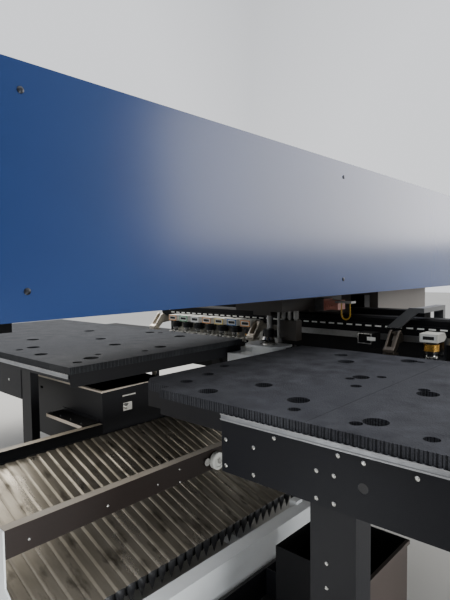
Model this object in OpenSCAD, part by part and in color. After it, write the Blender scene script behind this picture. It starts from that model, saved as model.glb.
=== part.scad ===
// Punch press with a punching head that travels over fixed brush tables.
// Origin on the floor under the middle of the machine: +X right, +Y back, +Z up.
// The punch line is the plane x = 0.

/* [Tables] */
// Height of the brush surface over the floor
table_h = 1000; // [950:5:1040]
// Thickness of a brush mat
brush_t = 38; // [30:1:46]
// Half the width of the machine across both tables
table_half = 2850; // [2700:10:3000]
// Depth of the tables from front edge to back edge
table_d = 1416; // [1380:2:1460]
// Half the width of the gap between the tables
gap_half = 262; // [255:1:275]
// Height of the front apron sheets
apron_h = 200; // [160:5:240]
// Height of the toothed edge strip
strip_h = 24; // [18:1:30]
// Distance between two teeth of the edge strip
tooth_pitch = 25; // [20:1:40]
// Thickness of the table sheet metal
sheet_t = 3; // [2:0.5:4]
// Width of the right front leg
leg_w = 165; // [140:5:180]
// Width of the left front leg
leg_small_w = 115; // [90:5:130]
// Depth of the right front leg
leg_d = 100; // [80:5:120]
// Depth of the left front leg
leg_small_d = 50; // [40:5:60]
// Side of the square tubes under the tables
tube = 40; // [30:5:50]

/* [Pit between the tables] */
// Top of the lamella cover at its left edge
lamella_z = 594; // [580:1:600]
// Slope of the lamella cover down to the right, in degrees
lamella_slope = 20; // [18:0.5:21]
// Distance between two lamellae
lamella_pitch = 53.2; // [48:0.2:60]
// Depth of the folds under the lamellae
fold_d = 84; // [60:1:86]
// Thickness of the bellows skin
skin_t = 2.5; // [2:0.1:4]
// Width of the guard rails beside the pit
rail_w = 42; // [36:1:50]
// Height of the right guard rail
rail_h = 100; // [80:1:110]
// Top of the guard rails over the floor
rail_z = 648; // [640:1:655]
// Diameter of the guide wheel
wheel_d = 84; // [60:1:100]
// Thickness of the guide wheel
wheel_t = 26; // [20:1:30]

/* [Machine frame] */
// Width of the welded arms of the frame
arm_w = 400; // [360:5:420]
// Depth of the machine from front to back
machine_d = 4400; // [4380:2:4440]
// Top of the lower arm
low_arm_z = 305; // [285:1:308]
// Underside of the upper arm
up_arm_z = 1560; // [1550:5:1600]
// Depth of the rear column
column_d = 1150; // [1000:10:1200]
// Half the width of the rear column
column_half = 330; // [300:5:360]
// Height of the base beams over the floor
base_z = 110; // [100:1:130]
// Height of the base beams
base_h = 150; // [130:1:170]
// Diameter of a levelling foot
foot_d = 110; // [80:1:140]

/* [Upper cover] */
// Half the width of the upper cover
cover_half = 600; // [560:5:640]
// Underside of the upper cover
cover_z0 = 1350; // [1335:1:1360]
// Top of the upper cover
cover_z1 = 2149; // [2120:1:2200]
// Thickness of a cover sheet
cover_t = 3; // [2:0.5:5]
// Width of the folded edge of a cover sheet
cover_lip = 28; // [20:1:40]

/* [Head and die] */
// Distance of the punch axis in front of the back edge of the tables
punch_back = 20; // [15:1:30]
// Width of the head slide
head_w = 400; // [360:5:420]
// Diameter of the ram
ram_d = 96; // [80:1:110]
// Diameter of the shank that the ram drives
shank_d = 26; // [20:1:32]
// Diameter of the punch holder at its ring
holder_d = 78; // [66:1:84]
// Diameter of the punch
punch_d = 22; // [16:1:28]
// Stroke of the ram
ram_stroke = 24; // [15:1:26]
// Diameter of the round die plate
die_plate_d = 330; // [300:5:360]
// Diameter of the rotating die holder
die_ring_d = 130; // [110:1:150]
// Gap between a rotating ring and its seat
turn_gap = 0.3; // [0.2:0.05:0.6]

/* [Tool magazine] */
// Distance between two tool stations
station_pitch = 138; // [132:1:142]
// Width of a tool cassette
cassette_w = 104; // [90:1:118]
// Depth of a tool cassette
cassette_d = 150; // [120:1:160]
// Front face of the cassettes behind the back edge of the tables
cassette_y = 112; // [108:1:125]
// Diameter of a tool
tool_d = 88; // [70:1:92]
// Height of the cross beam that carries the magazine
beam_h = 260; // [240:5:280]
// Depth of the cross beam
beam_d = 270; // [220:5:300]

/* [Control panel and cabinet] */
// Width of the control panel
panel_w = 460; // [400:5:520]
// Height of the control panel
panel_h = 360; // [300:5:420]
// Depth of the control panel housing
panel_d = 90; // [70:1:120]
// Length of the swivel arm
swing_len = 420; // [380:5:440]
// Diameter of the swivel pins
pin_d = 30; // [24:1:36]
// Height of the electrical cabinet
cabinet_h = 1800; // [1500:10:1900]
// Width of the electrical cabinet
cabinet_w = 760; // [600:10:760]
// Depth of the electrical cabinet
cabinet_d = 980; // [800:10:1000]

/* [Hidden] */

eps = 0.01;
gap = 0.3;
run_gap = 0.05;

front_y = -machine_d / 2;
back_y = machine_d / 2;
table_y = -table_d;
deck_z = table_h - brush_t;
strip_z = deck_z - strip_h;
apron_z = strip_z - apron_h;
skirt_h = 72;

// Right table: its front edge steps back beside the pit
step_x = gap_half + 210;
step_y = table_y + 56;
chamfer = 62;
seam_right = [step_x + 731, step_x + 1558];
seam_left = [-gap_half - 697, -gap_half - 1640];
apron_right_x = step_x + 361;
leg_right_x = apron_right_x + 392;
leg_left_x = -gap_half - 565;
hole_x = leg_right_x + 189;

function arc(cx, cy, r, a0, a1, n = 8) =
    [for (i = [0:n]) let (a = a0 + (a1 - a0) * i / n) [cx + r * cos(a), cy + r * sin(a)]];

module block(x0, x1, y0, y1, z0, z1) {
    translate([x0, y0, z0]) cube([x1 - x0, y1 - y0, z1 - z0]);
}

// Extrudes a (y, z) outline along X
module along_x(x0, x1) {
    translate([x0, 0, 0]) rotate([90, 0, 90]) linear_extrude(x1 - x0) children();
}

// Extrudes an (x, z) outline along Y
module along_y(y0, y1) {
    translate([0, y1, 0]) rotate([90, 0, 0]) linear_extrude(y1 - y0) children();
}

module rod_x(x0, x1, y, z, d) {
    translate([x0, y, z]) rotate([0, 90, 0]) cylinder(h = x1 - x0, d = d, $fn = 32);
}

module rod_y(x, y0, y1, z, d) {
    translate([x, y1, z]) rotate([90, 0, 0]) cylinder(h = y1 - y0, d = d, $fn = 32);
}

module rod_z(x, y, z0, z1, d) {
    translate([x, y, z0]) cylinder(h = z1 - z0, d = d, $fn = 48);
}

// Machine frame

arm_half = arm_w / 2;
arm_front = front_y + 110;
arm_back = back_y - 50;
column_y = arm_back - column_d;
arm_top_z = cover_z1 - 100;
throat_r = 160;
nose_rise = 140;
beam_x0 = cover_half + 36;
beam_x1 = beam_x0 + 74;
base_top = base_z + base_h;
base_step_z = base_top - 69;
base_step = 10;
outrigger_y = [front_y + 152, front_y + 2142, back_y - 270];
outrigger_w = 40;
screw_low_z = cover_z0 + 95;
screw_high_z = cover_z1 - 89;

module c_outline() {
    polygon(concat(
        [[arm_front, base_z], [arm_back, base_z], [arm_back, arm_top_z]],
        [[arm_front + nose_rise, arm_top_z], [arm_front, arm_top_z - nose_rise], [arm_front, up_arm_z]],
        arc(column_y - throat_r, up_arm_z - throat_r, throat_r, 90, 0),
        arc(column_y - throat_r, low_arm_z + throat_r, throat_r, 0, -90),
        [[arm_front, low_arm_z]]
    ));
}

// Frame that holds the side covers off the upper arm
module outrigger(y, side) {
    x0 = side * arm_half;
    x1 = side * (cover_half - cover_t);
    lower_z = up_arm_z + 60;
    upper_z = arm_top_z - 60;
    rail = side * (cover_half - cover_t - outrigger_w);
    along_y(y - outrigger_w / 2, y + outrigger_w / 2)
        polygon([
            [x0, upper_z + 20], [rail, upper_z + 20], [rail, screw_high_z + 20],
            [x1, screw_high_z + 20], [x1, screw_low_z - 20], [rail, screw_low_z - 20],
            [rail, lower_z - 20], [x0, lower_z - 20], [x0, lower_z + 20],
            [rail, lower_z + 20], [rail, upper_z - 20], [x0, upper_z - 20]
        ]);
}

module c_frame() {
    color("gainsboro") {
        along_x(-arm_half, arm_half) c_outline();
        block(-column_half, column_half, column_y, arm_back - 130, base_z, up_arm_z + 39);
    }
}

module cover_frames() {
    color("gainsboro") for (y = outrigger_y, side = [-1, 1]) outrigger(y, side);
}

// Black box of the head drive at the front end of the upper arm
module drive_housing() {
    color("black") block(-100, 100, arm_front + 5, arm_front + 214, cover_z0 - 88, up_arm_z);
}

base_stub_y = [front_y + 200, front_y + 1300, front_y + 2500, back_y - 300];
base_stub_w = 120;
base_stub_top = base_z + 60;

module base_beam_outline() {
    polygon([
        [beam_x0, base_z], [beam_x1 - base_step, base_z], [beam_x1 - base_step, base_step_z],
        [beam_x1, base_step_z], [beam_x1, base_top], [beam_x0, base_top]
    ]);
}

module base_half() {
    along_y(front_y + 106, back_y - 50) base_beam_outline();
    for (y = base_stub_y)
        block(y > column_y ? column_half : arm_half, beam_x0, y - base_stub_w / 2, y + base_stub_w / 2, base_z, base_stub_top);
    block(beam_x0 - 34, beam_x0 + 12, table_y + 776, table_y + 830, base_top - 30, base_top + 16);
}

module base_frame() {
    color("whitesmoke") {
        base_half();
        mirror([1, 0, 0]) base_half();
    }
}

foot_spots = [for (x = [-beam_x0 - 35, 0, beam_x0 + 35], y = [front_y + 260, 0, back_y - 200]) [x, y]];

module levelling_feet() {
    color("dimgray") for (p = foot_spots) translate([p[0], p[1], 0]) {
        cylinder(h = 14, d1 = foot_d, d2 = foot_d - 12, $fn = 48);
        cylinder(h = base_z, d = foot_d * 0.32, $fn = 32);
        translate([0, 0, base_z - 30]) cylinder(h = 18, d = foot_d * 0.55, $fn = 6);
    }
}

plate_y = front_y + 100;
plate_t = 6;

module front_plate() {
    color("whitesmoke") along_y(plate_y, plate_y + plate_t)
        polygon([
            [-gap_half - 6 - rail_w, base_z], [beam_x1, base_z], [beam_x1, base_top + 30],
            [step_x, base_top + 190], [step_x, rail_z - 1], [-gap_half - 6 - rail_w, rail_z - 1]
        ]);
}

// Upper cover

module cover_side() {
    x1 = cover_half;
    color("steelblue") along_y(front_y, back_y)
        polygon([
            [x1, cover_z0], [x1, cover_z1], [x1 - cover_lip, cover_z1], [x1 - cover_lip, cover_z1 - cover_t],
            [x1 - cover_t, cover_z1 - cover_t], [x1 - cover_t, cover_z0 + cover_t],
            [x1 - cover_lip, cover_z0 + cover_t], [x1 - cover_lip, cover_z0]
        ]);
}

module cover_right() {
    cover_side();
}

module cover_left() {
    mirror([1, 0, 0]) cover_side();
}

module cover_top() {
    inner = cover_half - cover_lip - gap;
    color("steelblue") difference() {
        block(-inner, inner, front_y, back_y, cover_z1 - cover_lip, cover_z1);
        block(-inner + cover_t, inner - cover_t, front_y + cover_t, back_y - cover_t, cover_z1 - cover_lip - 1, cover_z1 - cover_t);
    }
}

module cover_end(y, inward) {
    inner = cover_half - cover_lip - gap;
    z1 = cover_z1 - cover_lip - gap;
    y0 = inward > 0 ? y : y - cover_lip;
    color("steelblue") difference() {
        block(-inner, inner, y0, y0 + cover_lip, cover_z0, z1);
        translate([0, inward * cover_t, 0])
            block(-inner + cover_t, inner - cover_t, y0, y0 + cover_lip, cover_z0 + cover_t, z1 - cover_t);
    }
}

module cover_front() {
    cover_end(front_y, 1);
}

module cover_rear() {
    cover_end(back_y, -1);
}

// Linear guides of the head and the die

guide_x = 120;
guide_w = 35;
guide_h = 28;
guide_y0 = arm_front + 20;
guide_y1 = column_y - throat_r - 20;

module head_rails() {
    color("silver") for (x = [-guide_x, guide_x])
        block(x - guide_w / 2, x + guide_w / 2, guide_y0, guide_y1, up_arm_z - guide_h, up_arm_z);
}

module die_rails() {
    color("silver") for (x = [-guide_x, guide_x])
        block(x - guide_w / 2, x + guide_w / 2, guide_y0, guide_y1, low_arm_z, low_arm_z + guide_h);
}

// Cross beam that carries the magazine

beam_y0 = 430;
beam_y1 = beam_y0 + beam_d;
beam_z1 = table_h - 100;
guard_y0 = beam_y0 + 20;
guard_y1 = guard_y0 + 110;
sensor_x = 925;
beam_z0 = beam_z1 - beam_h;
beam_wall = 12;
cross_rail_z = [beam_z0 + 40, beam_z1 - 40];
cross_rail_w = 30;
cross_rail_h = 28;
beam_end = table_half - 10;

module cross_beam() {
    color("dimgray") difference() {
        block(-beam_end, beam_end, beam_y0, beam_y1, beam_z0, beam_z1);
        block(-beam_end + beam_wall, beam_end - beam_wall, beam_y0 + beam_wall, beam_y1 - beam_wall,
            beam_z0 + beam_wall, beam_z1 - beam_wall);
    }
    color("dimgray") block(-arm_half + 40, arm_half - 40, beam_y1, column_y - gap, beam_z0 + 30, beam_z1 - 30);
}

// Dark guards that stand on the cross beam behind the magazine
module rear_guards() {
    color("black") {
        block(-1520, -arm_half - 40, guard_y0, guard_y1, beam_z1, table_h + 245);
        block(arm_half + 170, sensor_x - 20, guard_y0, guard_y1, beam_z1, table_h + 230);
        block(arm_half + 124, arm_half + 232, guard_y1, guard_y1 + 80, table_h + 190, table_h + 317);
    }
}

// Arm on the cross beam that reaches over the magazine to its tools
module sensor_arm() {
    top = table_h + 264;
    color("gray") {
        block(sensor_x, sensor_x + 60, guard_y1, guard_y1 + 40, beam_z1, top - 29);
        block(sensor_x, sensor_x + 60, cassette_y + 114, guard_y1 + 40, top - 29, top);
        along_y(cassette_y + 114, cassette_y + 134) polygon([
            [sensor_x - 177, cassette_z1 + 8], [sensor_x - 89, cassette_z1 + 8], [sensor_x + 21, top - 29],
            [sensor_x + 21, top], [sensor_x - 32, top]
        ]);
    }
}

module cross_rails() {
    color("silver") for (z = cross_rail_z)
        block(-beam_end, beam_end, beam_y0 - cross_rail_h, beam_y0, z - cross_rail_w / 2, z + cross_rail_w / 2);
}

rack_z = (beam_z0 + beam_z1) / 2;
rack_pitch = 25;
rack_teeth = floor(2 * (beam_end - 50) / rack_pitch);
rack_len = rack_teeth * rack_pitch;

module cross_rack() {
    color("gray") translate([0, 0, rack_z - 15]) linear_extrude(30)
        polygon(concat(
            [[rack_len / 2, beam_y0], [-rack_len / 2, beam_y0]],
            [for (i = [0:rack_teeth - 1], k = [0:3])
                [-rack_len / 2 + rack_pitch * (i + [0.05, 0.3, 0.55, 0.8][k]), beam_y0 - [8, 8, 20, 20][(k + 3) % 4]]]
        ));
}

// Tables

frame_z1 = deck_z - sheet_t;
frame_z0 = frame_z1 - tube;
rear_post_x = table_half - 150;

// Welded frame of the right table, mirrored for the left one with its own inner end
module table_frame(x_in) {
    front = table_y + sheet_t;
    block(x_in, table_half - 3, front, front + tube, frame_z0, frame_z1);
    block(gap_half + 8, table_half - 3, -tube - 10, -10, frame_z0, frame_z1);
    for (x = [x_in, x_in + 560, table_half - 760, table_half - 3 - tube])
        block(x, x + tube, front + tube, -tube - 10, frame_z0, frame_z1);
    for (x = [x_in + 180, rear_post_x]) {
        block(x, x + 80, beam_y0 + 60, beam_y0 + 140, 0, beam_z0);
        block(x, x + 80, -10, beam_y0 + 60, beam_z0 - 90, beam_z0 - 10);
        block(x, x + 80, -tube - 10, -10, beam_z0 - 90, frame_z0);
    }
    block(rear_post_x, rear_post_x + 80, front, front + 80, 0, frame_z0);
}

module table_frame_right() {
    color("black") table_frame(apron_right_x);
}

module table_frame_left() {
    color("black") mirror([1, 0, 0]) table_frame(gap_half + 8);
}

// Outline of the right deck seen from above, with the step beside the pit
module deck_outline() {
    polygon([
        [step_x, table_y + sheet_t], [table_half, table_y + sheet_t], [table_half, 0], [gap_half, 0],
        [gap_half, step_y + chamfer], [gap_half + chamfer, step_y], [step_x, step_y]
    ]);
}

// Folded edge of the right deck, from the apron round the step to the back
module deck_skirt() {
    t = sheet_t;
    x1 = apron_right_x - gap;
    y0 = table_y + t;
    k = t * tan(22.5);
    polygon([
        [x1, y0], [step_x, y0], [step_x, step_y], [gap_half + chamfer, step_y], [gap_half, step_y + chamfer],
        [gap_half, 0], [gap_half + t, 0], [gap_half + t, step_y + chamfer + k],
        [gap_half + chamfer + k, step_y + t], [step_x + t, step_y + t], [step_x + t, y0 + t], [x1, y0 + t]
    ]);
}

module deck_right() {
    color("black") {
        translate([0, 0, deck_z - sheet_t]) linear_extrude(sheet_t) deck_outline();
        translate([0, 0, deck_z - skirt_h]) linear_extrude(skirt_h - sheet_t) deck_skirt();
    }
}

module deck_left() {
    x1 = -gap_half;
    color("black") {
        block(-table_half, x1, table_y + sheet_t, 0, deck_z - sheet_t, deck_z);
        block(x1 - sheet_t, x1, table_y + sheet_t, 0, deck_z - skirt_h, deck_z - sheet_t);
    }
}

module apron_right() {
    color("black") difference() {
        block(apron_right_x, table_half, table_y, table_y + sheet_t, apron_z, strip_z);
        rod_y(hole_x, table_y - 1, table_y + sheet_t + 1, apron_z + apron_h / 2, 34);
    }
}

module apron_left() {
    color("black") {
        block(-table_half, leg_left_x, table_y, table_y + sheet_t, apron_z, strip_z);
        block(leg_left_x, -gap_half, table_y, table_y + sheet_t, frame_z0 + 1, strip_z);
    }
}

// Square tube leg with a foot plate
module table_leg(x0, w, d) {
    y0 = table_y + sheet_t;
    difference() {
        block(x0, x0 + w, y0, y0 + d, 8, frame_z0);
        block(x0 + 6, x0 + w - 6, y0 + 6, y0 + d - 6, 12, frame_z0 + 1);
    }
    block(x0, x0 + w, y0, y0 + d, 0, 8);
}

module table_legs() {
    color("black") {
        table_leg(leg_right_x, leg_w, leg_d);
        table_leg(leg_left_x, leg_small_w, leg_small_d);
    }
}

tuft_gap = 2.4;
tuft_deep = 4;

// Edge points with a narrow notch at every tuft, from p to q, cut to the left of that direction
function tuft_edge(p, q, pitch = tooth_pitch) =
    let (
        d = q - p,
        len = norm(d),
        u = d / len,
        v = [-u[1], u[0]],
        n = floor(len / pitch) - 1
    )
    [for (i = [1:n], k = [0:3])
        let (s = i * pitch + (k < 2 ? -tuft_gap / 2 : tuft_gap / 2), t = k == 1 || k == 2 ? tuft_deep : 0)
        p + u * s + v * t];

// Round recesses of the mats: x, y and diameter
holes_right = [
    [1029, -1189, 90], [1090, -1307, 48], [771, -1075, 80], [658, -1309, 85], [1024, -661, 80],
    [998, -719, 45], [1096, -598, 45], [1090, -837, 50], [776, -346, 90], [651, -177, 80],
    [452, -1240, 60], [418, -1062, 60], [341, -861, 55], [1034, -120, 90], [1095, -112, 42]
];
holes_right_outer = [
    [1380, -1259, 88], [1337, -1315, 46], [1579, -1312, 50], [1375, -781, 90], [1339, -725, 50],
    [1700, -1000, 90], [1820, -420, 90], [1900, -1240, 50]
];
holes_left = [
    [-438, -1172, 90], [-376, -1299, 55], [-447, -631, 80], [-396, -804, 45], [-747, -179, 90],
    [-519, -1071, 42], [-783, -760, 85], [-803, -1295, 80]
];
holes_left_outer = [
    [-1121, -1185, 85], [-1090, -1297, 48], [-1120, -651, 80], [-1135, -162, 80], [-1040, -128, 45],
    [-1500, -1000, 90], [-1640, -420, 90], [-2027, -578, 90]
];

module mat(outline, holes) {
    difference() {
        translate([0, 0, deck_z]) linear_extrude(brush_t) polygon(outline);
        for (h = holes) rod_z(h[0], h[1], deck_z - 1, table_h + 1, h[2]);
    }
}

mat_gap = 2;

module brush_mats_right() {
    x1 = seam_right[0];
    x2 = seam_right[1];
    color([0.25, 0.26, 0.28]) {
        mat(concat(
            [[step_x, table_y]], tuft_edge([step_x, table_y], [x1 - mat_gap, table_y]),
            [[x1 - mat_gap, table_y], [x1 - mat_gap, 0], [gap_half, 0]],
            tuft_edge([gap_half, 0], [gap_half, step_y + chamfer], 50),
            [[gap_half, step_y + chamfer], [gap_half + chamfer, step_y], [step_x, step_y]]
        ), holes_right);
        mat(concat(
            [[x1, table_y]], tuft_edge([x1, table_y], [x2 - mat_gap, table_y]),
            [[x2 - mat_gap, table_y], [x2 - mat_gap, 0], [x1, 0]]
        ), holes_right_outer);
        mat(concat(
            [[x2, table_y]], tuft_edge([x2, table_y], [table_half, table_y]),
            [[table_half, table_y], [table_half, 0], [x2, 0]]
        ), []);
    }
}

module brush_mats_left() {
    x0 = -gap_half;
    x1 = seam_left[0];
    x2 = seam_left[1];
    color([0.33, 0.34, 0.35]) {
        mat(concat(
            [[x1, table_y]], tuft_edge([x1, table_y], [x0, table_y]), [[x0, table_y]],
            tuft_edge([x0, table_y], [x0, 0]), [[x0, 0], [x1, 0]]
        ), holes_left);
        mat(concat(
            [[x2, table_y]], tuft_edge([x2, table_y], [x1 - mat_gap, table_y]),
            [[x1 - mat_gap, table_y], [x1 - mat_gap, 0], [x2, 0]]
        ), holes_left_outer);
        mat(concat(
            [[-table_half, table_y]], tuft_edge([-table_half, table_y], [x2 - mat_gap, table_y]),
            [[x2 - mat_gap, table_y], [x2 - mat_gap, 0], [-table_half, 0]]
        ), []);
    }
}

strip_t = 4;
tooth_h = 5;

// Zinc strip with a saw-toothed upper edge, and a small lip along its foot
module tooth_strip(x0, x1) {
    n = floor((x1 - x0) / tooth_pitch);
    z0 = strip_z;
    along_y(table_y - strip_t, table_y - gap)
        polygon(concat(
            [[x0 + n * tooth_pitch, z0], [x0, z0]],
            [for (i = [0:n - 1], k = [0, 1]) [x0 + tooth_pitch * (i + k * 0.5), deck_z - 3 + k * tooth_h]],
            [[x0 + n * tooth_pitch, deck_z - 3]]
        ));
    block(x0, x0 + n * tooth_pitch, table_y - strip_t - 3, table_y - strip_t, z0, z0 + 4);
}

module tooth_strips() {
    color("lightgray") {
        tooth_strip(apron_right_x, table_half);
        tooth_strip(-table_half, -gap_half);
    }
}

// Button head screws of the covers, aprons and rails

module screw_y(x, y, z, d) {
    translate([x, y, z]) rotate([90, 0, 0]) {
        cylinder(h = 2.2, d = d, $fn = 24);
        translate([0, 0, 2.2]) cylinder(h = 2.4, d1 = d, d2 = d * 0.5, $fn = 24);
    }
}

module screw_x(x, y, z, d, side = 1) {
    translate([x, y, z]) rotate([0, 90 * side, 0]) {
        cylinder(h = 2.2, d = d, $fn = 24);
        translate([0, 0, 2.2]) cylinder(h = 2.4, d1 = d, d2 = d * 0.5, $fn = 24);
    }
}

apron_screws = [
    [22, 127], [21, 27], [156, 127], [155, 26],
    [148 + 100, 182], [396 + 100, 182], [583, 180], [745, 178],
    [418, 113], [418, 22], [482, 113], [482, 22],
    [1180, 180], [1180, 30], [1560, 180], [1560, 30], [1900, 180], [1900, 30]
];

module screws() {
    color("silver") {
        for (s = apron_screws) screw_y(apron_right_x + s[0], table_y, apron_z + s[1], 15);
        for (x = [-table_half + 120, (leg_left_x - table_half) / 2, leg_left_x - 160]) screw_y(x, table_y, apron_z + 100, 15);
        for (z = [table_h - 448, table_h - 530]) screw_y(leg_right_x + 62, table_y + sheet_t, z, 13);
        for (y = [rail_y0 + 84, rail_y0 + 404, table_y - 19]) screw_x(step_x, y, rail_z - rail_h * 0.62, 10);
        for (z = [rail_z - rail_h * 0.33, rail_z - rail_h * 0.92]) screw_x(step_x, table_y + 108, z, 10);
        for (i = [0:3])
            rod_z(angle_x0 + 10 + 113 * i, angle_y0 + 29, rail_z + 4 + sheet_t, rail_z + 9 + sheet_t, 12);
    }
    color("dimgray") for (y = outrigger_y, z = [screw_low_z, screw_high_z]) {
        screw_x(cover_half, y, z, 22);
        screw_x(-cover_half, y, z, 22, -1);
    }
}

// Pit beside and under the head

housing_x0 = -gap_half - 856;
housing_x1 = -gap_half - 6;
housing_y0 = table_y + 201;
housing_y1 = table_y + 691;
housing_z0 = rail_z - 66;
housing_z1 = table_h - 170;
trim = 16;
angle_y0 = housing_y0 - 112;
angle_x0 = leg_left_x + leg_small_w + 12;
rail_y0 = plate_y + plate_t;

module cable_housing() {
    color("black") difference() {
        block(housing_x0, housing_x1, housing_y0, housing_y1, housing_z0, housing_z1);
        block(housing_x0 + sheet_t, housing_x1 - sheet_t, housing_y0 + sheet_t, housing_y1 - sheet_t, housing_z0 + sheet_t, housing_z1 + 1);
        translate([housing_x0 + 155, housing_y0 - 1, housing_z1 - 74]) rotate([-90, 0, 0]) linear_extrude(sheet_t + 2)
            union() {
                translate([-9, 0]) circle(d = 16, $fn = 32);
                translate([9, 0]) circle(d = 16, $fn = 32);
                square([18, 16], center = true);
            }
    }
    color("tan") {
        block(housing_x0, housing_x1, housing_y0 - sheet_t, housing_y0, housing_z1 - 6, housing_z1 + 4);
        block(housing_x0, housing_x1 - trim, housing_y0, housing_y0 + trim, housing_z1, housing_z1 + 4);
        block(housing_x1 - trim, housing_x1, housing_y0, housing_y1, housing_z1, housing_z1 + 4);
    }
    color("black") for (x = [housing_x0 + 100, housing_x1 - 160])
        block(x, x + 40, housing_y1, housing_y1 + 30, housing_z1 - 200, deck_z - sheet_t);
}

// Small roller latch and a thin bar on the side of the housing
module housing_latch() {
    y = housing_y0 + 168;
    z = housing_z1 - 113;
    color("silver") {
        block(housing_x1, housing_x1 + 6, y - 34, y + 60, z + 62, z + 70);
        block(housing_x1, housing_x1 + 4, y - 30, y + 34, z - 24, z + 24);
        rod_x(housing_x1 + 4, housing_x1 + 22, y, z, 34);
    }
}

// Angle that ties the left rail to the housing
module housing_angle() {
    x0 = angle_x0;
    x1 = -gap_half - 40;
    color("darkgray") {
        block(x0, x1, angle_y0, housing_y0 - gap, rail_z + 4, rail_z + 4 + sheet_t);
        block(x0, -gap_half - 6 - rail_w - gap, angle_y0, angle_y0 + sheet_t, rail_z - 12, rail_z + 4);
        block(x0, x1, housing_y0 - sheet_t - gap, housing_y0 - gap, rail_z + 4, rail_z + 24);
        block(-gap_half - 48, x1, angle_y0 + sheet_t, housing_y0 - gap, rail_z + gap, rail_z + 4);
    }
}

// Folded channel of a guard rail with its open side down
module rail_outline(x0, h) {
    t = 3;
    polygon([
        [x0, rail_z - h], [x0, rail_z], [x0 + rail_w, rail_z], [x0 + rail_w, rail_z - h],
        [x0 + rail_w - t, rail_z - h], [x0 + rail_w - t, rail_z - t], [x0 + t, rail_z - t], [x0 + t, rail_z - h]
    ]);
}

module guard_rail_left() {
    color("dimgray") along_y(rail_y0, housing_y0 - gap) rail_outline(-gap_half - 6 - rail_w, 54);
}

module guard_rail_right() {
    color([0.2, 0.16, 0.14]) along_y(rail_y0, table_y + 716) rail_outline(step_x - rail_w, rail_h);
}

wheel_y = table_y + 336;
wheel_z = rail_z - 56;
axle_d = 14;

module wheel_bracket() {
    color("gray") {
        rod_x(step_x, step_x + 34, wheel_y, wheel_z, axle_d);
        rod_x(step_x, step_x + 5 - gap, wheel_y, wheel_z, 34);
        rod_x(step_x + 5 + wheel_t + gap, step_x + 12 + wheel_t, wheel_y, wheel_z, 24);
        rod_x(step_x, step_x + 14, wheel_y - wheel_d / 2 - 20, wheel_z + 8, 36);
    }
}

module guide_wheel() {
    r = wheel_d / 2;
    bore = axle_d / 2 + run_gap;
    color("whitesmoke") translate([step_x + 5, wheel_y, wheel_z]) rotate([0, 90, 0])
        rotate_extrude($fn = 64) polygon([
            [bore, 0], [r - 3, 0], [r, 3], [r, wheel_t - 3], [r - 3, wheel_t], [r - 12, wheel_t],
            [r - 14, wheel_t - 5], [16, wheel_t - 5], [14, wheel_t], [bore, wheel_t]
        ]);
}

bin_x0 = beam_x1 + 24;
bin_x1 = bin_x0 + 200;
bin_y0 = table_y - 84;
bin_y1 = table_y + 720;
bin_h = 130;
bin_split = [bin_y0 + 480, bin_y0 + 640];

module scrap_bin() {
    color("black") difference() {
        union() {
            block(bin_x0, bin_x1, bin_y0, bin_y1, 0, bin_h);
            block(bin_x0 - 12, bin_x1 + 12, bin_y0 - 12, bin_y1 + 12, bin_h - 14, bin_h);
        }
        block(bin_x0 + 4, bin_x1 - 4, bin_y0 + 4, bin_split[0] - 2, 5, bin_h + 1);
        block(bin_x0 + 4, bin_x1 - 4, bin_split[0] + 2, bin_split[1] - 2, 5, bin_h + 1);
        block(bin_x0 + 4, bin_x1 - 4, bin_split[1] + 2, bin_y1 - 4, 5, bin_h + 1);
    }
}

box_x0 = bin_x1 + 28;
box_x1 = box_x0 + 370;
box_y0 = table_y + 166;
box_y1 = table_y + 550;
box_h = 420;

module parts_box() {
    color([0.24, 0.19, 0.17]) difference() {
        union() {
            block(box_x0, box_x1, box_y0, box_y1, 0, box_h);
            block(box_x1, box_x1 + 10, box_y0, box_y1, box_h - 16, box_h);
        }
        block(box_x0 + 4, box_x1 - 4, box_y0 + 4, box_y1 - 4, 5, box_h + 1);
    }
}

// Lamella bellows: steel lamellae over pleated folds, one skin from end to end
punch_y = -punch_back;
bellows_x0 = -gap_half;
bellows_y0 = rail_y0 + gap;
carriage_y0 = punch_y - 170;
bellows_y1 = carriage_y0 - 6 - gap;
lamella_n = round((bellows_y1 - bellows_y0) / lamella_pitch);
lamella_step = (bellows_y1 - bellows_y0) / lamella_n;
bellows_x1 = beam_x0 - 68;
bellows_w = (bellows_x1 - bellows_x0) / cos(lamella_slope);
lip_h = 5;

function fold_points(i) =
    let (y = bellows_y0 + i * lamella_step, s = lamella_step, t = skin_t)
    [[y, 0], [y + s - t, -lip_h], [y + s - t, -lip_h - t]];

function fold_under(i) =
    let (y = bellows_y0 + i * lamella_step, s = lamella_step, t = skin_t)
    [[y + s - t - 4, -lip_h - 2 * t], [y + s * 0.62, -fold_d], [y + s * 0.38, -fold_d], [y + 4, -lip_h - 2 * t]];

function fold_inner(i) =
    let (y = bellows_y0 + i * lamella_step, s = lamella_step, t = skin_t)
    [[y + s - t - 7, -lip_h - 2 * t], [y + s * 0.62 - 1, -fold_d + 2 * t], [y + s * 0.38 + 1, -fold_d + 2 * t],
     [y + 7, -lip_h - 2 * t]];

module bellows_profile() {
    last = lamella_n - 1;
    difference() {
        polygon(concat(
            [for (i = [0:last]) each fold_points(i)],
            [[bellows_y1, -lip_h - skin_t], [bellows_y1, -lip_h - 2 * skin_t]],
            [for (i = [last:-1:0]) each fold_under(i)],
            [[bellows_y0, -lip_h - 2 * skin_t]]
        ));
        for (i = [0:last]) polygon(fold_inner(i));
    }
}

module bellows() {
    color("silver") translate([bellows_x0, 0, lamella_z]) rotate([0, lamella_slope, 0])
        rotate([90, 0, 90]) linear_extrude(bellows_w) bellows_profile();
}

// Punching head

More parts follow.
